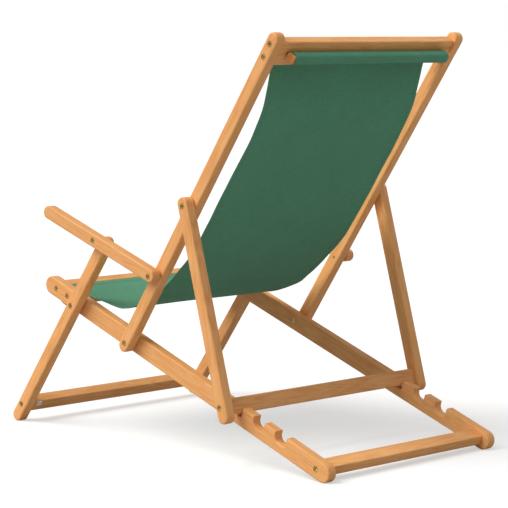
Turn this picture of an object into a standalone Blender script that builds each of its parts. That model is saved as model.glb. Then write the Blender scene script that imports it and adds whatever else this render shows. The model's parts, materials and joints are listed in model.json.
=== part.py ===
"""Folding deck chair: a wooden frame that folds on ten pivot bolts, with a canvas sling seat.

Metres, +Z up. The chair faces -Y, so the sitter's left is +X. The origin is on the floor, under
the middle of the open chair. Every wooden frame is modelled in its own flat coordinates: X across
the chair, Y along the rail and Z square to it. An empty on the frame's pivot turns it to its slope.
"""

from math import atan2, cos, pi, radians, sin

import bmesh
import bpy
from mathutils import Matrix, Vector

# ---- driving dimensions ---------------------------------------------------------------------

MAIN_SLOPE = -19.3                # degrees, main rails, falling to the rear
BACK_SLOPE = 55.0                 # degrees, back rails
LEG_SLOPE = 53.2                  # front legs
ARM_SLOPE = -18.3                 # armrests
PROP_SLOPE = -74.12               # degrees, prop legs, falling to the rear

MAIN_REAR = (0.4762, 0.0200)      # Y and Z of the middle of the main rails' round rear ends
MAIN_LENGTH = 0.911               # between the middles of the two round ends
MAIN_DEPTH = 0.040
MAIN_THICKNESS = 0.022
MAIN_OUTER = 0.255                # X of the main rails' outer faces

BAR_DEPTH = 0.0285                # back rails, legs, armrests and prop legs
BAR_THICKNESS = 0.0235
BACK_GAP = 0.0015                 # main rail to back rail, filled by a washer
LEG_GAP = 0.0034                  # main rail to front leg
ARM_GAP = 0.0014                  # front leg to armrest
PROP_GAP = 0.0015                 # back rail to prop leg

BACK_PIVOT = -0.6095              # along the main rails from their rear end
LEG_PIVOT = -0.803
ARM_PIVOT = (0.191, -0.001)       # along and across the back rails, from the back pivot
PROP_PIVOT = 0.380
BACK_LENGTH = 0.800               # pivot to the middle of the round top end
BACK_OVERHANG = 0.0070            # from a pivot to the middle of the round end past it
PROP_OVERHANG = 0.0050
LEG_TOP = 0.1865                  # leg pivot to the middle of the round top end
LEG_MIDDLE = -0.0017              # the leg's middle line, across from its pivot
ARM_FRONT = -0.3590               # rear armrest pivot to the middle of the front end
ARM_REAR = 0.001
ARM_MIDDLE = 0.0026               # the armrest's middle line, across from its rear pivot
PROP_LENGTH = 0.443

NOTCH_FRONTS = (-0.280, -0.2125, -0.145)    # front edge of each notch, along the main rails
NOTCH_OPENING = 0.0325
NOTCH_DEPTH = 0.02045
NOTCH_FRONT_RADIUS = 0.013
NOTCH_REAR_RADIUS = 0.003

BOARD_THICKNESS = 0.020
TOP_BOARD_WIDTH = 0.056
TOP_BOARD_PLACE = 0.772           # along the back rails
TOP_SCREWS = (0.7885, 0.757)
FRONT_BOARD_WIDTH = 0.082
FRONT_BOARD_PLACE = -0.871        # along the main rails
FRONT_SCREWS = (-0.8915, -0.8505)
SLOT_WIDTH = 0.008
SLOT_LENGTH = 0.462
TOP_SLOT_PLACE = 0.772
FRONT_SLOT_PLACE = -0.8835

REAR_BAR_SIZE = (0.036, 0.020)
REAR_BAR_PLACE = -0.018
PROP_BAR_SIZE = (0.0335, 0.015)
PROP_BAR_PLACE = (0.423, -0.0035)
STRETCHER_SIZE = (0.0300, 0.0235)
STRETCHER_PLACE = (0.0325, 0.0015)  # up the leg from the middle of the foot, and to its front
BUMPER_SIZE = (0.012, 0.011, 0.004)

HEAD_RADIUS = 0.0060
HEAD_HEIGHT = 0.0035
SOCKET_RADIUS = 0.0030
SOCKET_DEPTH = 0.0022
SHANK_RADIUS = 0.0030
SINK_RADIUS = 0.00675             # counterbore round each head
SINK_DEPTH = 0.0050
HOLE_RADIUS = 0.0035
NUT_HEIGHT = 0.0045
WASHER_RADIUS = 0.009
SCREW_INTO_BOARD = 0.028

ROD_SIDE = 0.0185
ROD_OFFSET = -0.0255              # rod's middle behind its board's middle
TOP_ROD_HALF = 0.236
FRONT_ROD_HALF = 0.2315
CLOTH_HALF = 0.229
CLOTH_THICKNESS = 0.002
SLEEVE_GAP = 0.0005

MAIN_EDGE = 0.0025                # radius of the rails' rounded long edges
BAR_EDGE = 0.003
BOARD_EDGE = 0.002

TOUCH = 0.0003                    # between pieces that touch
ROUND_STEPS = 12                  # facets of a half round end
TURNED_STEPS = 12                 # facets of a bolt, hole or washer
EDGE_STEPS = 2                    # facets of a rounded long edge
SHARP = radians(60)

# The sling's line below the top board, as (along, across) the back rails, and then as
# (along, across) the main rails. It hangs behind the back rails and sweeps into the seat.
SLING_BACK = ((0.7660, 0.0170), (0.7535, 0.0190), (0.7400, 0.0180), (0.7220, 0.0140),
              (0.7100, 0.0100), (0.6930, 0.0040), (0.6720, -0.0035), (0.6520, -0.0110),
              (0.6300, -0.0165), (0.5930, -0.0197), (0.5550, -0.0213), (0.5000, -0.0212),
              (0.4500, -0.0210), (0.4000, -0.0205), (0.3500, -0.0200), (0.3100, -0.0193),
              (0.2720, -0.0175), (0.2390, -0.0130), (0.2020, -0.0035), (0.1770, 0.0015),
              (0.1450, 0.0110), (0.1190, 0.0210), (0.0910, 0.0325), (0.0490, 0.0610))
SLING_SEAT = ((-0.6933, 0.0393), (-0.7293, 0.0304), (-0.8046, 0.0190), (-0.8600, 0.0142),
              (-0.8785, 0.0132), (-0.8825, 0.0121))

TEAK = (0.60, 0.33, 0.13)
BRASS = (0.62, 0.50, 0.24)
CANVAS = (0.055, 0.16, 0.10)
PALE_PLASTIC = (0.75, 0.75, 0.72)

# ---- the frames' places, worked out from the dimensions --------------------------------------


def slope_axes(degrees):
    """The along and across directions of a frame, as (Y, Z) vectors."""
    turn = radians(degrees)
    return Vector((cos(turn), sin(turn))), Vector((-sin(turn), cos(turn)))


def place(origin, degrees, along, across=0.0):
    """The (Y, Z) place of a point given along and across a frame."""
    run, rise = slope_axes(degrees)
    return Vector(origin) + run * along + rise * across


def within(origin, degrees, point):
    """A (Y, Z) point as (along, across) a frame."""
    run, rise = slope_axes(degrees)
    offset = point - Vector(origin)
    return offset.dot(run), offset.dot(rise)


MAIN_INNER = MAIN_OUTER - MAIN_THICKNESS
BACK_INNER = MAIN_OUTER + BACK_GAP
BACK_OUTER = BACK_INNER + BAR_THICKNESS
LEG_INNER = MAIN_OUTER + LEG_GAP
LEG_OUTER = LEG_INNER + BAR_THICKNESS
ARM_INNER = LEG_OUTER + ARM_GAP
ARM_OUTER = ARM_INNER + BAR_THICKNESS
PROP_INNER = BACK_OUTER + PROP_GAP
PROP_OUTER = PROP_INNER + BAR_THICKNESS

BACK_AXIS = place(MAIN_REAR, MAIN_SLOPE, BACK_PIVOT)
LEG_AXIS = place(MAIN_REAR, MAIN_SLOPE, LEG_PIVOT)
ARM_AXIS = place(BACK_AXIS, BACK_SLOPE, *ARM_PIVOT)
PROP_AXIS = place(BACK_AXIS, BACK_SLOPE, PROP_PIVOT)
ARM_FRONT_AXIS = LEG_AXIS + ARM_AXIS - BACK_AXIS     # the four pivots make a parallelogram
PIVOT_ON_LEG = within(LEG_AXIS, LEG_SLOPE, ARM_FRONT_AXIS)
PIVOT_ON_ARM = within(ARM_AXIS, ARM_SLOPE, ARM_FRONT_AXIS)
LEG_TURN = radians(LEG_SLOPE)
FOOT_PLACE = (BAR_DEPTH / 2 - LEG_AXIS.y - cos(LEG_TURN) * LEG_MIDDLE) / sin(LEG_TURN)

SIDES = (("left", 1), ("right", -1))

# ---- scene and materials ---------------------------------------------------------------------


def clear_scene():
    """Remove every object that the new scene came with."""
    for item in list(bpy.data.objects):
        bpy.data.objects.remove(item, do_unlink=True)


def new_collection(name):
    """A collection linked to the scene."""
    group = bpy.data.collections.new(name)
    bpy.context.scene.collection.children.link(group)
    return group


clear_scene()
PARTS = new_collection("folding_deck_chair")
CUTTERS = new_collection("cutters")


def finish(item, color, roughness, metallic=0.0):
    """Give an object a Principled material of its own."""
    material = bpy.data.materials.new(item.name + "_finish")
    material.use_nodes = True
    shader = material.node_tree.nodes["Principled BSDF"]
    shader.inputs["Base Color"].default_value = (*color, 1.0)
    shader.inputs["Roughness"].default_value = roughness
    shader.inputs["Metallic"].default_value = metallic
    item.data.materials.clear()
    item.data.materials.append(material)


def wood(item):
    finish(item, TEAK, 0.55)


def brass(item):
    finish(item, BRASS, 0.35, metallic=1.0)


def frame_empty(name, axis, degrees):
    """An empty on a frame's pivot line, turned to the frame's slope."""
    empty = bpy.data.objects.new(name, None)
    empty.empty_display_size = 0.05
    empty.location = (0.0, axis[0], axis[1])
    empty.rotation_euler = (radians(degrees), 0.0, 0.0)
    PARTS.objects.link(empty)
    return empty


def add_object(name, mesh, parent, group=PARTS):
    """An object with this mesh, in its frame's coordinates."""
    item = bpy.data.objects.new(name, mesh)
    item.parent = parent
    group.objects.link(item)
    return item


# ---- modelling tools -------------------------------------------------------------------------


def arc(center, radius, start, end, steps=ROUND_STEPS):
    """Points of an arc, angles in degrees from the along direction."""
    points = []
    for index in range(steps + 1):
        turn = radians(start + (end - start) * index / steps)
        points.append((center[0] + radius * cos(turn), center[1] + radius * sin(turn)))
    return points


def extrude_outlines(name, outlines, x_low, x_high, parent):
    """A solid from flat outlines in a frame's (along, across) plane, filled between two X."""
    curve = bpy.data.curves.new(name, "CURVE")
    curve.dimensions = "2D"
    curve.fill_mode = "BOTH"
    curve.extrude = (x_high - x_low) / 2
    for outline in outlines:
        spline = curve.splines.new("POLY")
        spline.points.add(len(outline) - 1)
        spline.use_cyclic_u = True
        for point, (along, across) in zip(spline.points, outline):
            point.co = (along, across, 0.0, 1.0)
    holder = bpy.data.objects.new(name + "_outline", curve)
    PARTS.objects.link(holder)
    depsgraph = bpy.context.evaluated_depsgraph_get()
    mesh = bpy.data.meshes.new_from_object(holder.evaluated_get(depsgraph))
    bpy.data.objects.remove(holder, do_unlink=True)
    mesh.name = name
    stand_up = Matrix(((0, 0, 1, 0), (1, 0, 0, 0), (0, 1, 0, 0), (0, 0, 0, 1)))
    mesh.transform(Matrix.Translation(((x_low + x_high) / 2, 0.0, 0.0)) @ stand_up)
    weld(mesh)
    return add_object(name, mesh, parent)


def weld(mesh):
    """Join a curve's loose caps to its sides and make the faces point out."""
    shape = bmesh.new()
    shape.from_mesh(mesh)
    bmesh.ops.remove_doubles(shape, verts=shape.verts, dist=1e-6)
    bmesh.ops.recalc_face_normals(shape, faces=shape.faces)
    shape.to_mesh(mesh)
    shape.free()


def round_over(shape, radius, along_x):
    """Round a wooden piece's sharp edges: those that run along X, or those in its side faces."""
    bmesh.ops.dissolve_limit(shape, angle_limit=radians(1), verts=shape.verts, edges=shape.edges)
    edges = []
    for edge in shape.edges:
        start, end = edge.verts
        runs_along_x = abs(start.co.x - end.co.x) > radius
        if runs_along_x == along_x and edge.calc_face_angle() > SHARP:
            edges.append(edge)
    bmesh.ops.bevel(shape, geom=edges, offset=radius, segments=EDGE_STEPS, profile=0.5,
                    affect="EDGES")


def rail_piece(name, outline, side, inner, outer, edge_radius, parent):
    """A rail, leg or armrest of this outline, its faces at two distances from the middle plane."""
    low, high = sorted((side * inner, side * outer))
    rail = extrude_outlines(name, [outline], low, high, parent)
    shape = bmesh.new()
    shape.from_mesh(rail.data)
    round_over(shape, edge_radius, along_x=False)
    shape.to_mesh(rail.data)
    shape.free()
    wood(rail)
    return rail


def block(name, size, center, parent, group=PARTS, edge_radius=0.0):
    """A rectangular piece; size and centre in the frame's coordinates."""
    shape = bmesh.new()
    bmesh.ops.create_cube(shape, size=1.0)
    bmesh.ops.scale(shape, vec=size, verts=shape.verts)
    bmesh.ops.translate(shape, vec=center, verts=shape.verts)
    if edge_radius > 0:
        round_over(shape, edge_radius, along_x=True)
    mesh = bpy.data.meshes.new(name)
    shape.to_mesh(mesh)
    shape.free()
    return add_object(name, mesh, parent, group)


def board_piece(name, size, center, parent):
    """A wooden board or bar that runs across the chair, with rounded long edges."""
    board = block(name, size, center, parent, edge_radius=BOARD_EDGE)
    wood(board)
    return board


def turned(name, profile, start, side, parent, group=PARTS):
    """A piece turned about a line along X. The profile is (radius, distance outwards) from the
    axis at the outer end, down the outside, to the axis at the inner end."""
    mesh = bpy.data.meshes.new(name)
    points = [(radius, 0.0, distance) for radius, distance in profile]
    edges = [(index, index + 1) for index in range(len(points) - 1)]
    closed = profile[0][0] > 0
    if closed:
        edges.append((len(points) - 1, 0))
    mesh.from_pydata(points, edges, [])
    item = add_object(name, mesh, parent, group)
    item.location = (side * start[0], start[1], start[2])
    item.rotation_euler = (0.0, side * pi / 2, 0.0)
    screw = item.modifiers.new("turn", "SCREW")
    screw.steps = TURNED_STEPS
    screw.render_steps = TURNED_STEPS
    screw.use_merge_vertices = True
    screw.merge_threshold = 1e-5
    return item


def cut(item, cutter):
    """Take a cutter out of a piece."""
    cutter.hide_render = True
    cutter.display_type = "WIRE"
    boolean = item.modifiers.new("cut_" + cutter.name, "BOOLEAN")
    boolean.operation = "DIFFERENCE"
    boolean.solver = "EXACT"
    boolean.object = cutter


def drill(item, side, x_from, x_to, along, across, radius=HOLE_RADIUS):
    """A round hole along X, given as distances from the chair's middle plane."""
    length = x_to - x_from
    profile = ((0.0, length), (radius, length), (radius, 0.0), (0.0, 0.0))
    name = f"{item.name}_hole_{len(item.modifiers)}"
    start = (x_from, along, across)
    cut(item, turned(name, profile, start, side, item.parent, CUTTERS))


def sink(item, side, inner, outer, along, across=0.0):
    """A bolt hole right through a rail, with a counterbore for the head in the outer face."""
    margin = 0.002
    floor = outer - SINK_DEPTH - (inner - margin)
    top = outer + margin - (inner - margin)
    profile = ((0.0, top), (SINK_RADIUS, top), (SINK_RADIUS, floor), (HOLE_RADIUS, floor),
               (HOLE_RADIUS, 0.0), (0.0, 0.0))
    name = f"{item.name}_sink_{len(item.modifiers)}"
    start = (inner - margin, along, across)
    cut(item, turned(name, profile, start, side, item.parent, CUTTERS))


def bolt(name, side, x_tip, outer, along, across, parent):
    """A socket-head bolt whose head lies in the counterbore of the outer face."""
    seat = outer - SINK_DEPTH + TOUCH - x_tip
    top = seat + HEAD_HEIGHT
    profile = ((0.0, top - SOCKET_DEPTH), (SOCKET_RADIUS, top - SOCKET_DEPTH),
               (SOCKET_RADIUS, top), (HEAD_RADIUS, top), (HEAD_RADIUS, seat),
               (SHANK_RADIUS, seat), (SHANK_RADIUS, 0.0), (0.0, 0.0))
    item = turned(name, profile, (x_tip, along, across), side, parent)
    brass(item)
    return item


def ring(name, side, x_inner, height, outer_radius, along, across, parent):
    """A washer or a round nut on a bolt."""
    bore = HOLE_RADIUS
    profile = ((outer_radius, height), (outer_radius, 0.0), (bore, 0.0), (bore, height))
    item = turned(name, profile, (x_inner, along, across), side, parent)
    brass(item)
    return item


# ---- the frames ------------------------------------------------------------------------------

main_frame = frame_empty("main_frame_axis", MAIN_REAR, MAIN_SLOPE)
back_frame = frame_empty("back_frame_axis", BACK_AXIS, BACK_SLOPE)
leg_frame = frame_empty("leg_frame_axis", LEG_AXIS, LEG_SLOPE)
prop_frame = frame_empty("prop_frame_axis", PROP_AXIS, PROP_SLOPE)
arm_frames = {word: frame_empty(f"armrest_{word}_axis", ARM_AXIS, ARM_SLOPE)
              for word, _ in SIDES}


def round_bar(start, end, middle=0.0):
    """Outline of a bar with half round ends; start and end are the ends' middles."""
    return (arc((end, middle), BAR_DEPTH / 2, -90, 90)
            + arc((start, middle), BAR_DEPTH / 2, 90, 270))


def notch(front):
    """A notch's outline, front to rear: a wall with a large round, the floor, a steep rear wall."""
    top = MAIN_DEPTH / 2
    floor = top - NOTCH_DEPTH
    rear = front + NOTCH_OPENING
    front_round = arc((front + NOTCH_FRONT_RADIUS, floor + NOTCH_FRONT_RADIUS),
                      NOTCH_FRONT_RADIUS, 180, 270, 6)
    rear_round = arc((rear - NOTCH_REAR_RADIUS, floor + NOTCH_REAR_RADIUS),
                     NOTCH_REAR_RADIUS, 270, 360, 3)
    return [(front, top)] + front_round + rear_round + [(rear, top)]


def main_rail_outline():
    """The main rail: round ends, and three notches along the top of its rear part."""
    radius = MAIN_DEPTH / 2
    outline = arc((-MAIN_LENGTH, 0.0), radius, 270, 90)
    for front in NOTCH_FRONTS:
        outline += notch(front)
    return outline + arc((0.0, 0.0), radius, 90, -90)


def build_main_frame():
    """Two notched rails, the slotted front board and the rear crossbar."""
    for word, side in SIDES:
        rail = rail_piece(f"main_rail_{word}", main_rail_outline(), side, MAIN_INNER, MAIN_OUTER,
                          MAIN_EDGE, main_frame)
        nut_floor = MAIN_INNER + NUT_HEIGHT + 2 * TOUCH
        for pivot in (BACK_PIVOT, LEG_PIVOT):
            drill(rail, side, MAIN_INNER - 0.002, MAIN_OUTER + 0.002, pivot, 0.0)
            drill(rail, side, MAIN_INNER - 0.002, nut_floor, pivot, 0.0, SINK_RADIUS)
        for along in (*FRONT_SCREWS, REAR_BAR_PLACE):
            sink(rail, side, MAIN_INNER, MAIN_OUTER, along)
    span = 2 * (MAIN_INNER - TOUCH)
    board = board_piece("front_slot_board", (span, FRONT_BOARD_WIDTH, BOARD_THICKNESS),
                        (0.0, FRONT_BOARD_PLACE, 0.0), main_frame)
    cut_slot(board, FRONT_SLOT_PLACE, SLOT_LENGTH)
    fix_board(board, "front_board_screw", FRONT_SCREWS, MAIN_INNER, MAIN_OUTER)
    bar = board_piece("rear_crossbar", (span, *REAR_BAR_SIZE), (0.0, REAR_BAR_PLACE, 0.0),
                      main_frame)
    fix_board(bar, "rear_crossbar_screw", (REAR_BAR_PLACE,), MAIN_INNER, MAIN_OUTER)


def cut_slot(board, along, length):
    """The slot that the cloth passes through."""
    size = (length, SLOT_WIDTH, 2 * BOARD_THICKNESS)
    slot = block(board.name + "_slot", size, (0.0, along, 0.0), board.parent, CUTTERS)
    cut(board, slot)


def fix_board(board, screw_name, places, inner, outer, across=0.0):
    """Screws through both rails into the ends of a board."""
    tip = inner - SCREW_INTO_BOARD
    for word, side in SIDES:
        for number, along in enumerate(places, start=1):
            drill(board, side, tip - 0.001, inner + 0.002, along, across)
            suffix = f"_{number}" if len(places) > 1 else ""
            bolt(f"{screw_name}_{word}{suffix}", side, tip, outer, along, across, board.parent)


def build_back_frame():
    """Two back rails and the slotted top board."""
    for word, side in SIDES:
        outline = round_bar(-BACK_OVERHANG, BACK_LENGTH)
        rail = rail_piece(f"back_rail_{word}", outline, side, BACK_INNER, BACK_OUTER,
                          BAR_EDGE, back_frame)
        for along in (0.0, *TOP_SCREWS):
            sink(rail, side, BACK_INNER, BACK_OUTER, along)
        for along, across in (ARM_PIVOT, (PROP_PIVOT, 0.0)):
            drill(rail, side, BACK_INNER - 0.002, BACK_OUTER + 0.002, along, across)
    span = 2 * (BACK_INNER - TOUCH)
    board = board_piece("top_slot_board", (span, TOP_BOARD_WIDTH, BOARD_THICKNESS),
                        (0.0, TOP_BOARD_PLACE, 0.0), back_frame)
    cut_slot(board, TOP_SLOT_PLACE, SLOT_LENGTH)
    fix_board(board, "top_board_screw", TOP_SCREWS, BACK_INNER, BACK_OUTER)


def build_leg_frame():
    """Two front legs, their stretcher and the stretcher's bumpers."""
    along = FOOT_PLACE + STRETCHER_PLACE[0]
    across = LEG_MIDDLE + STRETCHER_PLACE[1]
    for word, side in SIDES:
        outline = round_bar(FOOT_PLACE, LEG_TOP, LEG_MIDDLE)
        leg = rail_piece(f"front_leg_{word}", outline, side, LEG_INNER, LEG_OUTER,
                         BAR_EDGE, leg_frame)
        sink(leg, side, LEG_INNER, LEG_OUTER, 0.0)
        sink(leg, side, LEG_INNER, LEG_OUTER, along, across)
        drill(leg, side, LEG_INNER - 0.002, LEG_OUTER + 0.002, *PIVOT_ON_LEG)
    span = 2 * (LEG_INNER - TOUCH)
    stretcher = board_piece("front_stretcher", (span, *STRETCHER_SIZE), (0.0, along, across),
                            leg_frame)
    fix_board(stretcher, "stretcher_screw", (along,), LEG_INNER, LEG_OUTER, across)
    face = across - STRETCHER_SIZE[1] / 2 - TOUCH
    upper = along + STRETCHER_SIZE[0] / 2 - BUMPER_SIZE[1] / 2
    for word, side in SIDES:
        middle = (side * (MAIN_INNER + MAIN_OUTER) / 2, upper, face - BUMPER_SIZE[2] / 2)
        bumper = block(f"stretcher_bumper_{word}", BUMPER_SIZE, middle, leg_frame)
        finish(bumper, PALE_PLASTIC, 0.4)


def build_armrests():
    """Two armrests, each on its own pivot line."""
    for word, side in SIDES:
        outline = round_bar(ARM_FRONT, ARM_REAR, ARM_MIDDLE)
        arm = rail_piece(f"armrest_{word}", outline, side, ARM_INNER, ARM_OUTER,
                         BAR_EDGE, arm_frames[word])
        for along, across in ((0.0, 0.0), PIVOT_ON_ARM):
            sink(arm, side, ARM_INNER, ARM_OUTER, along, across)


def build_prop_frame():
    """Two prop legs and the crossbar that rests in the notches."""
    along, across = PROP_BAR_PLACE
    for word, side in SIDES:
        outline = round_bar(-PROP_OVERHANG, PROP_LENGTH)
        prop = rail_piece(f"prop_leg_{word}", outline, side, PROP_INNER, PROP_OUTER,
                          BAR_EDGE, prop_frame)
        sink(prop, side, PROP_INNER, PROP_OUTER, 0.0)
        sink(prop, side, PROP_INNER, PROP_OUTER, along, across)
    span = 2 * (PROP_INNER - TOUCH)
    bar = board_piece("prop_crossbar", (span, *PROP_BAR_SIZE), (0.0, along, across), prop_frame)
    fix_board(bar, "prop_crossbar_screw", (along,), PROP_INNER, PROP_OUTER, across)


def build_pivots():
    """Ten pivot bolts, each with a washer in the gap, and four nuts let into the main rails."""
    pivots = (
        ("back_pivot", main_frame, (BACK_PIVOT, 0.0), MAIN_INNER, MAIN_OUTER, BACK_GAP,
         BACK_OUTER),
        ("leg_pivot", main_frame, (LEG_PIVOT, 0.0), MAIN_INNER, MAIN_OUTER, LEG_GAP, LEG_OUTER),
        ("arm_rear_pivot", back_frame, ARM_PIVOT, BACK_INNER, BACK_OUTER,
         ARM_INNER - BACK_OUTER, ARM_OUTER),
        ("arm_front_pivot", leg_frame, PIVOT_ON_LEG, LEG_INNER, LEG_OUTER, ARM_GAP, ARM_OUTER),
        ("prop_pivot", back_frame, (PROP_PIVOT, 0.0), BACK_INNER, BACK_OUTER, PROP_GAP,
         PROP_OUTER),
    )
    for name, frame, spot, inner, gap_start, gap, outer in pivots:
        for word, side in SIDES:
            bolt(f"{name}_bolt_{word}", side, inner + TOUCH, outer, *spot, frame)
            ring(f"{name}_washer_{word}", side, gap_start + TOUCH, gap - 2 * TOUCH,
                 WASHER_RADIUS, *spot, frame)
            if frame is main_frame:
                ring(f"{name}_nut_{word}", side, inner + TOUCH, NUT_HEIGHT, HEAD_RADIUS,
                     *spot, frame)


# ---- the sling -------------------------------------------------------------------------------


def smooth_line(points, steps=3):
    """Points of a Catmull-Rom curve through the given points."""
    ends = [points[0] * 2 - points[1]] + points + [points[-1] * 2 - points[-2]]
    line = []
    for index in range(len(points) - 1):
        before, start, end, after = ends[index:index + 4]
        for step in range(steps):
            t = step / steps
            line.append(0.5 * (2 * start + (end - before) * t
                               + (2 * before - 5 * start + 4 * end - after) * t * t
                               + (3 * start - before - 3 * end + after) * t * t * t))
    return line + [points[-1]]


def sling_line():
    """The middle of the cloth in (Y, Z), from the top sleeve to the front sleeve."""
    half_board = BOARD_THICKNESS / 2
    sleeve = ROD_OFFSET + ROD_SIDE / 2 + SLEEVE_GAP + CLOTH_THICKNESS
    back = [(TOP_SLOT_PLACE, sleeve), (TOP_SLOT_PLACE, half_board)]
    seat = [(FRONT_SLOT_PLACE, half_board), (FRONT_SLOT_PLACE, sleeve)]
    through_top = [place(BACK_AXIS, BACK_SLOPE, *point) for point in back]
    through_front = [place(MAIN_REAR, MAIN_SLOPE, *point) for point in seat]
    free = [place(BACK_AXIS, BACK_SLOPE, *point) for point in SLING_BACK]
    free += [place(MAIN_REAR, MAIN_SLOPE, *point) for point in SLING_SEAT]
    curve = smooth_line([through_top[1]] + free + [through_front[0]])
    return [through_top[0]] + curve + [through_front[1]]


def beside(line, distance):
    """The line moved sideways to its left by a distance."""
    moved = []
    for index, point in enumerate(line):
        before = line[max(index - 1, 0)]
        after = line[min(index + 1, len(line) - 1)]
        heading = atan2(after.y - before.y, after.x - before.x)
        moved.append(point + Vector((-sin(heading), cos(heading))) * distance)
    return moved


def rounded_square(half, radius, steps):
    """Corner points of a rounded square, clockwise from the corner (+, +)."""
    reach = half - radius
    points = []
    for corner_along, corner_across, start in ((1, 1, 90), (1, -1, 0), (-1, -1, -90), (-1, 1, -180)):
        center = (corner_along * reach, corner_across * reach)
        points += arc(center, radius, start, start - 90, steps)
    return points


def build_sling():
    """The cloth: one sheet that ends in a sleeve round each rod."""
    line = sling_line()
    half = CLOTH_THICKNESS / 2
    hollow = ROD_SIDE / 2 + SLEEVE_GAP
    sleeves = ((BACK_AXIS, BACK_SLOPE, TOP_SLOT_PLACE), (MAIN_REAR, MAIN_SLOPE, FRONT_SLOT_PLACE))
    rings, hollows = [], []
    for origin, degrees, along in sleeves:
        outer = rounded_square(hollow + CLOTH_THICKNESS, 0.004, 3)
        inner = rounded_square(hollow, 0.0008, 2)
        rings.append([place(origin, degrees, along + a, ROD_OFFSET + b) for a, b in outer])
        hollows.append([place(origin, degrees, along + a, ROD_OFFSET + b) for a, b in inner])
    outline = beside(line, half) + rings[1] + list(reversed(beside(line, -half))) + rings[0]
    outlines = [[tuple(point) for point in path] for path in (outline, *hollows)]
    sling = extrude_outlines("sling", outlines, -CLOTH_HALF, CLOTH_HALF, None)
    finish(sling, CANVAS, 0.9)


def build_rods():
    """The square rods that lock the cloth behind its two boards."""
    for name, half_length, along, frame in (
            ("top_rod", TOP_ROD_HALF, TOP_SLOT_PLACE, back_frame),
            ("front_rod", FRONT_ROD_HALF, FRONT_SLOT_PLACE, main_frame)):
        size = (2 * half_length, ROD_SIDE, ROD_SIDE)
        wood(block(name, size, (0.0, along, ROD_OFFSET), frame, edge_radius=BAR_EDGE))


build_main_frame()
build_back_frame()
build_leg_frame()
build_armrests()
build_prop_frame()
build_pivots()
build_sling()
build_rods()
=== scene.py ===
"""Looks of the folding deck chair: oiled teak, brass fasteners and a dark green canvas sling."""

import json
from bisect import bisect_left
from math import atan2, cos, pi, radians, sin

import bmesh
import bpy
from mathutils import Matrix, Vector, noise


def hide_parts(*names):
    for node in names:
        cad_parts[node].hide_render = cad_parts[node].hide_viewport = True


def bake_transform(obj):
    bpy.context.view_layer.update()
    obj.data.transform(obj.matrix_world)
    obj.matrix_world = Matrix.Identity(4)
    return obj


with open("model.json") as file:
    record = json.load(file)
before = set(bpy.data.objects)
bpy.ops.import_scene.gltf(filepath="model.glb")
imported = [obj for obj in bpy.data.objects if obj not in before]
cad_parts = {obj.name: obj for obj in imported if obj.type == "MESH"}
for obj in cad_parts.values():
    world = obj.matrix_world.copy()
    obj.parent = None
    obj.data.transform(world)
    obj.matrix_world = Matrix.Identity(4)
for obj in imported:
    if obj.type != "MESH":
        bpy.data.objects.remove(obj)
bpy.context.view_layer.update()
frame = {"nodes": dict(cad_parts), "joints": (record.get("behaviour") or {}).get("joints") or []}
NODES = frame["nodes"]
PIVOT = {joint["name"]: joint["pos_m"] for joint in frame["joints"]}

# ---- dimensions, in metres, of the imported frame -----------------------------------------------

MAIN_SLOPE = -19.3
BACK_SLOPE = 55.0
LEG_SLOPE = 53.2
ARM_SLOPE = -18.3
PROP_SLOPE = -74.12
BACK_AXIS = (PIVOT["back_fold"][1], PIVOT["back_fold"][2])
BACK_ALONG_MAIN = 0.6095          # from the back pivot to the main rails' round rear ends

SLOT_ALONG_BACK = 0.772
SLOT_ALONG_MAIN = -0.8835
ROD_OFFSET = -0.0255              # behind the board's middle
HALF_BOARD = 0.010

CLOTH_HALF = 0.229
CLOTH_THICKNESS = 0.0009
HEM_WIDTH = 0.013
HEM_THICKNESS = 0.0017
HEM_STEP = 0.0012                 # the width over which the hem thickens
EDGE_ROUND = 0.0015
ACROSS_COUNT = 44                 # rows of faces between the hems
SLEEVE_HALF = 0.01145             # half the width of the cloth loop round a rod
SLEEVE_RADIUS = 0.0082
SLOT_SHIFT = 0.0011               # each layer's middle to one side of the slot's middle
TAIL_LENGTH = 0.030               # cloth sewn back onto itself past each slot
TAIL_SHIFT = 0.0016               # the tail lies between the cloth and its board
TAIL_STEP = 0.002
ROW_STEP = 0.005
SEAMS_FROM_SLOT = (0.016, 0.022)  # rows of stitches that hold the tails
HEM_STITCHES_INSET = 0.003
HEM_STITCHES_START = 0.015
STITCH_LENGTH = 0.0030
STITCH_PITCH = 0.0042
STITCH_RADIUS = 0.00035

# ---- frames ----------------------------------------------------------------------------------


def place(origin, degrees, along, across):
    """(Y, Z) of a point given along and across a sloping frame."""
    turn = radians(degrees)
    return Vector((origin[0] + cos(turn) * along - sin(turn) * across,
                   origin[1] + sin(turn) * along + cos(turn) * across))


MAIN_REAR = place(BACK_AXIS, MAIN_SLOPE, BACK_ALONG_MAIN, 0.0)


def on_back(along, across):
    return place(BACK_AXIS, BACK_SLOPE, along, across)


def on_main(along, across):
    return place(MAIN_REAR, MAIN_SLOPE, along, across)


# ---- materials -------------------------------------------------------------------------------


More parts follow.
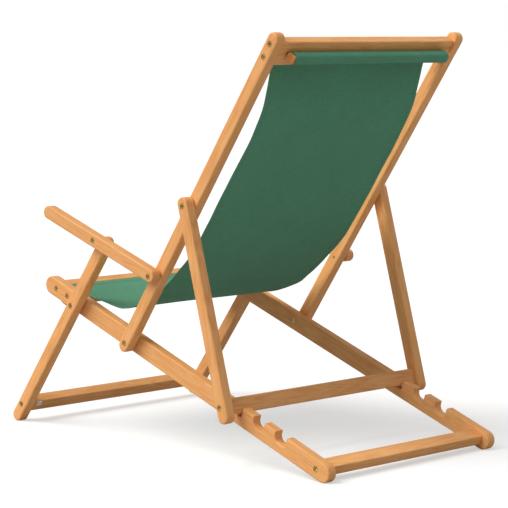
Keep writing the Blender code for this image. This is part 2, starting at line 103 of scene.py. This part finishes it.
class Graph:
    """A material's node tree with short ways to add and link nodes."""

    def __init__(self, name):
        self.material = bpy.data.materials.new(name)
        self.material.use_nodes = True
        self.tree = self.material.node_tree
        self.shader = self.tree.nodes["Principled BSDF"]

    def node(self, kind, inputs=None, **settings):
        item = self.tree.nodes.new("ShaderNode" + kind)
        for key, value in settings.items():
            setattr(item, key, value)
        for key, value in (inputs or {}).items():
            if isinstance(value, bpy.types.NodeSocket):
                self.tree.links.new(value, item.inputs[key])
            else:
                item.inputs[key].default_value = value
        return item

    def math(self, operation, first, second=0.0, third=0.0, clamp=False):
        item = self.node("Math", {0: first, 1: second, 2: third}, operation=operation,
                         use_clamp=clamp)
        return item.outputs[0]

    def span(self, value, low, high, to_low=0.0, to_high=1.0):
        """A value stretched from one range to another, held at the ends."""
        item = self.node("MapRange", {"Value": value, "From Min": low, "From Max": high,
                                      "To Min": to_low, "To Max": to_high})
        return item.outputs[0]

    def mix(self, factor, first, second, blend="MIX"):
        item = self.node("Mix", {0: factor, 6: first, 7: second}, data_type="RGBA",
                         blend_type=blend)
        return item.outputs[2]

    def set(self, name, value):
        if isinstance(value, bpy.types.NodeSocket):
            self.tree.links.new(value, self.shader.inputs[name])
        else:
            self.shader.inputs[name].default_value = value

    def bump(self, height, strength, distance):
        item = self.node("Bump", {"Height": height, "Strength": strength, "Distance": distance})
        self.set("Normal", item.outputs[0])


TEAK_LIGHT = (0.91, 0.47, 0.184, 1.0)
TEAK_MIDDLE = (0.83, 0.39, 0.133, 1.0)
TEAK_DARK = (0.67, 0.275, 0.083, 1.0)
BRASS_BRIGHT = (0.82, 0.63, 0.25, 1.0)
BRASS_DULL = (0.42, 0.31, 0.11, 1.0)
PLASTIC_CLEAN = (0.78, 0.77, 0.73, 1.0)
PLASTIC_DIRTY = (0.55, 0.51, 0.45, 1.0)
CANVAS_LIGHT = (0.125, 0.372, 0.232, 1.0)
CANVAS_DARK = (0.085, 0.264, 0.157, 1.0)
THREAD_LIGHT = (0.14, 0.36, 0.24, 1.0)
THREAD_DARK = (0.06, 0.17, 0.11, 1.0)
WEAVE_PITCH = 0.0013


def teak(name, degrees, number, across_chair=False):
    """Oiled teak whose grain runs along the piece. The number picks the piece's own board."""
    graph = Graph(name)
    place_in_log = (0.37 * number, 1.91 * number, 0.83 * number)
    coordinates = graph.node("TexCoord").outputs["Object"]
    turn = (0.0, 0.0, radians(90)) if across_chair else (-radians(degrees), 0.0, 0.0)
    turned = graph.node("Mapping", {"Vector": coordinates, "Rotation": turn}).outputs[0]
    stretched = graph.node("Mapping", {"Vector": turned, "Scale": (1.0, 0.075, 1.0),
                                       "Location": place_in_log}).outputs[0]
    figure = graph.node("TexNoise", {"Vector": stretched, "Scale": 26.0, "Detail": 3.0,
                                     "Roughness": 0.5, "Distortion": 0.6}).outputs[0]
    rings = graph.math("SINE", graph.math("MULTIPLY", figure, 75.0))
    rings = graph.span(rings, -1.0, 1.0)
    streaks = graph.node("TexNoise", {"Vector": stretched, "Scale": 230.0, "Detail": 4.0,
                                      "Roughness": 0.65}).outputs[0]
    fibres = graph.node("Mapping", {"Vector": turned, "Scale": (1.0, 0.02, 1.0),
                                    "Location": place_in_log}).outputs[0]
    pores = graph.node("TexNoise", {"Vector": fibres, "Scale": 1500.0, "Detail": 2.0}).outputs[0]
    pores = graph.span(pores, 0.60, 0.72)
    patches = graph.node("TexNoise", {"Vector": turned, "Scale": 9.0, "Detail": 2.0}).outputs[0]
    tone = graph.math("MULTIPLY_ADD", rings, 0.42, graph.span(streaks, 0.3, 0.7, 0.0, 0.42))
    tone = graph.math("ADD", tone, graph.span(patches, 0.35, 0.65, -0.12, 0.12), clamp=True)
    ramp = graph.node("ValToRGB", {"Fac": tone})
    ramp.color_ramp.elements[0].color = TEAK_LIGHT
    ramp.color_ramp.elements[1].color = TEAK_DARK
    ramp.color_ramp.elements[1].position = 1.0
    middle = ramp.color_ramp.elements.new(0.55)
    middle.color = TEAK_MIDDLE
    color = graph.mix(graph.math("MULTIPLY", pores, 0.45), ramp.outputs[0], TEAK_DARK)
    shift = 0.94 + 0.12 * ((number * 7) % 5) / 4
    color = graph.mix(1.0, color, (shift, shift * 0.985, shift * 0.96, 1.0), "MULTIPLY")
    graph.set("Base Color", color)
    graph.set("Roughness", graph.span(streaks, 0.3, 0.7, 0.42, 0.60))
    graph.set("Specular IOR Level", 0.38)
    height = graph.math("MULTIPLY_ADD", pores, -1.0, graph.math("MULTIPLY", streaks, 0.5))
    graph.bump(height, 0.35, 0.0003)
    return graph.material


def brass():
    """Satin brass, dulled in patches and finely scratched."""
    graph = Graph("satin_brass")
    coordinates = graph.node("TexCoord").outputs["Object"]
    patches = graph.node("TexNoise", {"Vector": coordinates, "Scale": 260.0,
                                      "Detail": 4.0}).outputs[0]
    scratches = graph.node("TexNoise", {"Vector": coordinates, "Scale": 2400.0,
                                        "Detail": 2.0}).outputs[0]
    color = graph.mix(graph.span(patches, 0.4, 0.65), BRASS_BRIGHT, BRASS_DULL)
    graph.set("Base Color", color)
    graph.set("Metallic", 1.0)
    graph.set("Roughness", graph.span(patches, 0.35, 0.7, 0.30, 0.52))
    graph.bump(scratches, 0.15, 0.0001)
    return graph.material


def pale_plastic():
    """Off-white moulded plastic with a fine texture and a little dirt."""
    graph = Graph("pale_plastic")
    coordinates = graph.node("TexCoord").outputs["Object"]
    texture = graph.node("TexNoise", {"Vector": coordinates, "Scale": 1800.0}).outputs[0]
    dirt = graph.node("TexNoise", {"Vector": coordinates, "Scale": 120.0, "Detail": 4.0}).outputs[0]
    color = graph.mix(graph.span(dirt, 0.5, 0.8, 0.0, 0.5), PLASTIC_CLEAN, PLASTIC_DIRTY)
    graph.set("Base Color", color)
    graph.set("Roughness", graph.span(dirt, 0.3, 0.7, 0.38, 0.52))
    graph.bump(texture, 0.2, 0.0001)
    return graph.material


def canvas():
    """Plain woven canvas. The cloth attribute runs across and along the cloth, in metres."""
    graph = Graph("green_canvas")
    cloth = graph.node("Attribute", attribute_name="cloth").outputs["Vector"]
    parts = graph.node("SeparateXYZ", {0: cloth})
    warp = graph.math("SINE", graph.math("MULTIPLY", parts.outputs[0], 2 * pi / WEAVE_PITCH))
    weft = graph.math("SINE", graph.math("MULTIPLY", parts.outputs[1], 2 * pi / WEAVE_PITCH))
    weave = graph.math("MULTIPLY", warp, weft)
    threads = graph.span(weave, -1.0, 1.0)
    slub_map = graph.node("Mapping", {"Vector": cloth, "Scale": (1.0, 0.05, 1.0)}).outputs[0]
    slubs = graph.node("TexNoise", {"Vector": slub_map, "Scale": 620.0, "Detail": 2.0}).outputs[0]
    cross_map = graph.node("Mapping", {"Vector": cloth, "Scale": (0.05, 1.0, 1.0)}).outputs[0]
    cross = graph.node("TexNoise", {"Vector": cross_map, "Scale": 620.0, "Detail": 2.0}).outputs[0]
    fading = graph.node("TexNoise", {"Vector": cloth, "Scale": 7.0, "Detail": 3.0}).outputs[0]
    tone = graph.math("ADD", graph.math("MULTIPLY", slubs, 0.5), graph.math("MULTIPLY", cross, 0.5))
    tone = graph.math("MULTIPLY_ADD", threads, 0.25, graph.span(tone, 0.35, 0.65, 0.0, 0.6))
    tone = graph.math("ADD", tone, graph.span(fading, 0.3, 0.7, -0.1, 0.15), clamp=True)
    graph.set("Base Color", graph.mix(tone, CANVAS_DARK, CANVAS_LIGHT))
    graph.set("Roughness", graph.span(slubs, 0.3, 0.7, 0.82, 0.95))
    graph.set("Sheen Weight", 0.05)
    graph.set("Sheen Roughness", 0.5)
    graph.set("Specular IOR Level", 0.15)
    height = graph.math("ADD", graph.math("ABSOLUTE", weave), graph.math("MULTIPLY", slubs, 0.7))
    graph.bump(height, 0.5, 0.0004)
    return graph.material


def thread():
    """Sewing thread, a little lighter than the cloth."""
    graph = Graph("green_thread")
    coordinates = graph.node("TexCoord").outputs["Object"]
    twist = graph.node("TexNoise", {"Vector": coordinates, "Scale": 3500.0}).outputs[0]
    graph.set("Base Color", graph.mix(twist, THREAD_DARK, THREAD_LIGHT))
    graph.set("Roughness", graph.span(twist, 0.3, 0.7, 0.5, 0.7))
    graph.bump(twist, 0.4, 0.0002)
    return graph.material


# ---- the wooden and metal pieces -------------------------------------------------------------

GRAIN_SLOPES = {"main_rail": MAIN_SLOPE, "armrest": ARM_SLOPE, "back_rail": BACK_SLOPE,
                "front_leg": LEG_SLOPE, "prop_leg": PROP_SLOPE}
ACROSS = ("front_slot_board", "rear_crossbar", "top_slot_board", "front_stretcher",
          "prop_crossbar", "top_rod", "front_rod")
METAL_WORDS = ("bolt", "washer", "nut", "screw")


def dress(item, material):
    item.data.materials.clear()
    item.data.materials.append(material)


def soften(item, width, segments=2):
    """Ease the piece's sharp edges a little."""
    bevel = item.modifiers.new("eased_edges", "BEVEL")
    bevel.width = width
    bevel.segments = segments
    bevel.limit_method = "ANGLE"
    bevel.angle_limit = radians(38)
    bevel.harden_normals = True


def dress_frame():
    """Give each wooden, metal and plastic piece its material and its eased edges."""
    metal, plastic = brass(), pale_plastic()
    for number, name in enumerate(sorted(NODES)):
        item = NODES[name]
        slope = next((turn for word, turn in GRAIN_SLOPES.items() if name.startswith(word)), None)
        if name in ACROSS:
            dress(item, teak(f"teak_{name}", 0.0, number, across_chair=True))
            soften(item, 0.0006)
        elif slope is not None:
            dress(item, teak(f"teak_{name}", slope, number))
            soften(item, 0.0006)
        elif any(word in name for word in METAL_WORDS):
            dress(item, metal)
            soften(item, 0.0003)
        elif name != "sling":
            dress(item, plastic)
            soften(item, 0.0012, 3)


# ---- the sling -------------------------------------------------------------------------------


def smooth_line(points, steps=8):
    """Points of a Catmull-Rom curve through the given points."""
    ends = [points[0] * 2 - points[1]] + points + [points[-1] * 2 - points[-2]]
    line = []
    for index in range(len(points) - 1):
        before, start, end, after = ends[index:index + 4]
        for step in range(steps):
            t = step / steps
            line.append(0.5 * (2 * start + (end - before) * t
                               + (2 * before - 5 * start + 4 * end - after) * t * t
                               + (3 * start - before - 3 * end + after) * t * t * t))
    return line + [points[-1]]


def even_line(line, step):
    """The same line with points at even distances, and each point's distance from the start."""
    lengths = [0.0]
    for start, end in zip(line, line[1:]):
        lengths.append(lengths[-1] + (end - start).length)
    count = max(2, round(lengths[-1] / step))
    points, index = [], 0
    for number in range(count + 1):
        distance = lengths[-1] * number / count
        while index < len(line) - 2 and lengths[index + 1] < distance:
            index += 1
        part = (distance - lengths[index]) / max(lengths[index + 1] - lengths[index], 1e-9)
        points.append(line[index].lerp(line[index + 1], min(part, 1.0)))
    return points, [lengths[-1] * number / count for number in range(count + 1)]


def sleeve_loop(front_side):
    """Points round a rod, as (along, across) from its middle, from the slot and back to it."""
    half, radius = SLEEVE_HALF, SLEEVE_RADIUS
    reach = half - radius
    points = []
    for along, across, start in ((1, 1, 90), (1, -1, 0), (-1, -1, -90), (-1, 1, -180)):
        for step in range(6):
            turn = radians(start - 90 * step / 5)
            points.append((along * reach + radius * cos(turn), across * reach + radius * sin(turn)))
    return points if front_side > 0 else [(-along, across) for along, across in points]


# The cloth's path below the top slot, along and across the back rails, then the main rails.
PATH_ON_BACK = ((0.7660, 0.0165), (0.7535, 0.0186), (0.7400, 0.0180), (0.7220, 0.0140),
                (0.7100, 0.0100), (0.6930, 0.0040), (0.6720, -0.0035), (0.6520, -0.0110),
                (0.6300, -0.0165), (0.5930, -0.0197), (0.5550, -0.0213), (0.5000, -0.0212),
                (0.4500, -0.0210), (0.4000, -0.0205), (0.3500, -0.0200), (0.3100, -0.0193),
                (0.2720, -0.0175), (0.2390, -0.0130), (0.2020, -0.0035), (0.1770, 0.0015),
                (0.1450, 0.0110), (0.1190, 0.0210), (0.0910, 0.0325), (0.0490, 0.0610))
PATH_ON_MAIN = ((-0.6933, 0.0393), (-0.7293, 0.0304), (-0.8046, 0.0190), (-0.8600, 0.0140),
                (-0.8785, 0.0126), (-0.8825, 0.0114))


def sleeve_path(on_board, slot_along, front_side):
    """From the slot's front mouth through the board, round the rod and back out again."""
    shift = front_side * SLOT_SHIFT
    inner_mouth = -HALF_BOARD + 0.001
    start = (slot_along + shift, HALF_BOARD)
    mouth = (slot_along + shift, inner_mouth)
    loop = [(slot_along + along, ROD_OFFSET + across)
            for along, across in sleeve_loop(front_side)]
    back_mouth = (slot_along - shift, inner_mouth)
    end = (slot_along - shift, HALF_BOARD)
    points = [start, mouth] + loop[1:-1] + [back_mouth, end]
    return [on_board(*point) for point in points]


def sling_path():
    """The cloth's middle line between the two slots."""
    return smooth_line([on_back(SLOT_ALONG_BACK + SLOT_SHIFT, HALF_BOARD)]
                       + [on_back(*point) for point in PATH_ON_BACK]
                       + [on_main(*point) for point in PATH_ON_MAIN]
                       + [on_main(SLOT_ALONG_MAIN - SLOT_SHIFT, HALF_BOARD)])


def offset_line(line, distance):
    """The line moved to its left by a distance."""
    moved = []
    for index, point in enumerate(line):
        before, after = line[max(index - 1, 0)], line[min(index + 1, len(line) - 1)]
        heading = atan2(after.y - before.y, after.x - before.x)
        moved.append(point + Vector((-sin(heading), cos(heading))) * distance)
    return moved


def tail_of(line, distance):
    """The first stretch of a line, TAIL_LENGTH long, moved to the side by a distance."""
    points, _ = even_line(line, TAIL_STEP)
    kept = points[2:2 + round(TAIL_LENGTH / TAIL_STEP)]
    return offset_line(kept, distance)


def cloth_stations():
    """Places across the cloth, close together at the hems."""
    inner = CLOTH_HALF - HEM_WIDTH
    edge = [CLOTH_HALF, CLOTH_HALF - 0.0004, CLOTH_HALF - EDGE_ROUND, CLOTH_HALF - 4 * EDGE_ROUND,
            inner + HEM_STEP, inner, inner - HEM_STEP]
    middle = [inner * (1 - 2 * step / ACROSS_COUNT) for step in range(1, ACROSS_COUNT)]
    return edge + middle + [-place_across for place_across in reversed(edge)]


def half_thickness(across):
    """Half the cloth's thickness, doubled in the hems and rounded at the edges."""
    inner = CLOTH_HALF - HEM_WIDTH
    distance = abs(across)
    rise = min(max((distance - inner + HEM_STEP / 2) / HEM_STEP, 0.0), 1.0)
    half = (CLOTH_THICKNESS + (HEM_THICKNESS - CLOTH_THICKNESS) * rise * rise * (3 - 2 * rise)) / 2
    near_edge = min((CLOTH_HALF - distance) / EDGE_ROUND, 1.0)
    return half * (1 - (1 - near_edge) ** 2) ** 0.5


BROAD_WAVES = 0.0022              # heights of the cloth's unevenness
EDGE_WAVES = 0.0016
SLOT_PLEATS = 0.0010


def ripple(across, length, free_length):
    """How far the cloth stands off its path: broad waves, and fine pleats near the slots."""
    left = free_length - length
    middle = min(max(length / 0.09, 0.0), 1.0) * min(max(left / 0.07, 0.0), 1.0)
    broad = noise.noise(Vector((across * 5.0, length * 4.0, 1.7))) * BROAD_WAVES
    edge = max(0.0, abs(across) / CLOTH_HALF - 0.72) / 0.28
    wave = noise.noise(Vector((across * 3.0, length * 17.0, 8.1))) * EDGE_WAVES * edge
    near_slot = max(0.0, 1 - length / 0.16) + max(0.0, 1 - left / 0.14)
    pleats = noise.noise(Vector((across * 55.0, length * 3.0, 4.3))) * SLOT_PLEATS * near_slot
    return middle * (broad + wave + pleats)


def sling_surface():
    """Rows of the cloth: (point, normal, distance along the cloth, distance from the slot)."""
    free = sling_path()
    top_loop = list(reversed(sleeve_path(on_back, SLOT_ALONG_BACK, 1)))
    front_loop = sleeve_path(on_main, SLOT_ALONG_MAIN, -1)
    top_tail = tail_of(free, TAIL_SHIFT)
    front_tail = tail_of(list(reversed(free)), -TAIL_SHIFT)
    line = list(reversed(top_tail)) + top_loop[:-1] + free + front_loop[1:] + front_tail
    before = even_line(list(reversed(top_tail)) + top_loop, ROW_STEP)[1][-1]
    free_length = even_line(free, ROW_STEP)[1][-1]
    points, lengths = even_line(line, ROW_STEP / 2)
    rows = []
    for index, point in enumerate(points):
        first, last = points[max(index - 1, 0)], points[min(index + 1, len(points) - 1)]
        heading = atan2(last.y - first.y, last.x - first.x)
        normal = Vector((-sin(heading), cos(heading)))
        rows.append((point, normal, lengths[index], lengths[index] - before))
    return rows, free_length


def build_sling():
    """The canvas: one closed sheet with thick side hems, and a sleeve sewn round each rod."""
    rows, free_length = sling_surface()
    stations = cloth_stations()
    shape = bmesh.new()
    cloth = shape.verts.layers.float_vector.new("cloth")
    sides = []
    for sign in (1, -1):
        grid = []
        for point, normal, length, from_slot in rows:
            row = []
            for across in stations:
                off = sign * half_thickness(across)
                if 0 < from_slot < free_length:
                    off += ripple(across, from_slot, free_length)
                place_2d = point + normal * off
                vert = shape.verts.new((across, place_2d.x, place_2d.y))
                vert[cloth] = (across, length, 0.0)
                row.append(vert)
            grid.append(row)
        sides.append(grid)
    upper, lower = sides
    for index in range(len(rows) - 1):
        for step in range(len(stations) - 1):
            corners = (index, step), (index, step + 1), (index + 1, step + 1), (index + 1, step)
            shape.faces.new([upper[i][j] for i, j in corners])
            shape.faces.new([lower[i][j] for i, j in reversed(corners)])
        for step in (0, len(stations) - 1):
            shape.faces.new((upper[index][step], upper[index + 1][step],
                             lower[index + 1][step], lower[index][step]))
    for index in (0, len(rows) - 1):
        for step in range(len(stations) - 1):
            shape.faces.new((upper[index][step], lower[index][step],
                             lower[index][step + 1], upper[index][step + 1]))
    bmesh.ops.remove_doubles(shape, verts=shape.verts, dist=1e-7)
    bmesh.ops.recalc_face_normals(shape, faces=shape.faces)
    mesh = bpy.data.meshes.new("canvas_sling")
    shape.to_mesh(mesh)
    shape.free()
    mesh.shade_smooth()
    item = bpy.data.objects.new("canvas_sling", mesh)
    bpy.context.scene.collection.objects.link(item)
    dress(item, canvas())
    return item, rows, free_length


def add_stitch(shape, start, end, radius):
    """One stitch: a thin six-sided thread that dives into the cloth at both ends."""
    direction = (end - start).normalized()
    side = direction.orthogonal().normalized()
    up = direction.cross(side)
    rings = []
    for part, size in ((0.0, 0.35), (0.2, 1.0), (0.8, 1.0), (1.0, 0.35)):
        center = start.lerp(end, part)
        rings.append([shape.verts.new(center + (side * cos(turn) + up * sin(turn)) * radius * size)
                      for turn in (2 * pi * step / 6 for step in range(6))])
    for first, second in zip(rings, rings[1:]):
        for step in range(6):
            after = (step + 1) % 6
            shape.faces.new((first[step], first[after], second[after], second[step]))
    shape.faces.new(list(reversed(rings[0])))
    shape.faces.new(rings[-1])


def build_stitches(rows, free_length):
    """Rows of thread along both hems and across the cloth by each slot, on both faces."""
    shape = bmesh.new()
    rows_by_place = {from_slot: (point, normal) for point, normal, _, from_slot in rows}
    places = sorted(rows_by_place)

    def on_cloth(across, from_slot, sign):
        """A point just over one face of the cloth."""
        index = min(max(bisect_left(places, from_slot), 1), len(places) - 1)
        low, high = places[index - 1], places[index]
        part = (from_slot - low) / max(high - low, 1e-9)
        first, second = rows_by_place[low], rows_by_place[high]
        point = first[0].lerp(second[0], part)
        normal = first[1].lerp(second[1], part).normalized()
        off = sign * (half_thickness(across) + STITCH_RADIUS * 0.3)
        off += ripple(across, from_slot, free_length)
        spot = point + normal * off
        return Vector((across, spot.x, spot.y))

    hem = CLOTH_HALF - HEM_WIDTH + HEM_STITCHES_INSET
    along_count = int((free_length - 2 * HEM_STITCHES_START) / STITCH_PITCH)
    across_count = int(2 * hem / STITCH_PITCH)
    seams = SEAMS_FROM_SLOT + tuple(free_length - distance for distance in SEAMS_FROM_SLOT)
    for sign in (1, -1):
        for across in (hem, -hem):
            for number in range(along_count):
                start = HEM_STITCHES_START + number * STITCH_PITCH
                add_stitch(shape, on_cloth(across, start, sign),
                           on_cloth(across, start + STITCH_LENGTH, sign), STITCH_RADIUS)
        for from_slot in seams:
            for number in range(across_count):
                start = -hem + number * STITCH_PITCH
                add_stitch(shape, on_cloth(start, from_slot, sign),
                           on_cloth(start + STITCH_LENGTH, from_slot, sign), STITCH_RADIUS)
    mesh = bpy.data.meshes.new("sling_stitching")
    shape.to_mesh(mesh)
    shape.free()
    mesh.shade_smooth()
    item = bpy.data.objects.new("sling_stitching", mesh)
    bpy.context.scene.collection.objects.link(item)
    dress(item, thread())
    return item


# ---- camera, light and floor -----------------------------------------------------------------

FLOOR_REACH = 60.0
FLOOR_GLOW = 0.48                 # what the camera sees is lit up to near white
AMBIENT = 0.46
KEY_STRENGTH = 2.7
KEY_SOFTNESS = 45.0               # degrees
KEY_FROM = (0.66, -0.30, 0.86)


def build_stage():
    """A wide pale floor under a broad soft light from the sitter's left, in a white room."""
    mesh = bpy.data.meshes.new("studio_floor")
    corners = [(x * FLOOR_REACH, y * FLOOR_REACH, 0) for x, y in ((-1, -1), (1, -1), (1, 1), (-1, 1))]
    mesh.from_pydata(corners, [], [(0, 1, 2, 3)])
    floor = bpy.data.objects.new("studio_floor", mesh)
    bpy.context.scene.collection.objects.link(floor)
    graph = Graph("studio_floor")
    seen = graph.node("LightPath").outputs["Is Camera Ray"]
    graph.set("Base Color", graph.mix(seen, (0.42, 0.42, 0.42, 1.0), (0.55, 0.55, 0.55, 1.0)))
    graph.set("Emission Color", (1.0, 1.0, 1.0, 1.0))
    graph.set("Emission Strength", graph.math("MULTIPLY", seen, FLOOR_GLOW))
    graph.set("Roughness", 0.95)
    graph.set("Specular IOR Level", 0.0)
    dress(floor, graph.material)

    world = bpy.data.worlds.new("studio")
    world.use_nodes = True
    tree = world.node_tree
    background = tree.nodes["Background"]
    path = tree.nodes.new("ShaderNodeLightPath")
    strength = tree.nodes.new("ShaderNodeMapRange")
    strength.inputs["To Min"].default_value = AMBIENT
    strength.inputs["To Max"].default_value = 1.0
    tree.links.new(path.outputs["Is Camera Ray"], strength.inputs["Value"])
    tree.links.new(strength.outputs[0], background.inputs["Strength"])
    background.inputs["Color"].default_value = (1.0, 1.0, 1.0, 1.0)
    bpy.context.scene.world = world

    light = bpy.data.lights.new("key_light", "SUN")
    light.energy = KEY_STRENGTH
    light.angle = radians(KEY_SOFTNESS)
    light.color = (1.0, 0.985, 0.96)
    item = bpy.data.objects.new("key_light", light)
    item.rotation_euler = Vector(KEY_FROM).to_track_quat("Z", "Y").to_euler()
    bpy.context.scene.collection.objects.link(item)


def build_camera():
    """The photograph's view: from behind, to the sitter's left, a little above the seat."""
    data = bpy.data.cameras.new("camera")
    data.lens = 148.52
    data.sensor_width = 36.0
    data.shift_x = -0.00505
    data.shift_y = -0.01704
    item = bpy.data.objects.new("camera", data)
    item.location = (3.17564, 3.34361, 0.89236)
    look = Vector((-0.68757, -0.71899, -0.10150))
    item.rotation_euler = look.to_track_quat("-Z", "Y").to_euler()
    bpy.context.scene.collection.objects.link(item)
    bpy.context.scene.camera = item


build_camera()
build_stage()
dress_frame()
sling, sling_rows, sling_free_length = build_sling()
stitching = build_stitches(sling_rows, sling_free_length)
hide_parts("sling")
for piece in (sling, stitching):
    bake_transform(piece)

bpy.context.scene.view_settings.view_transform = "Standard"
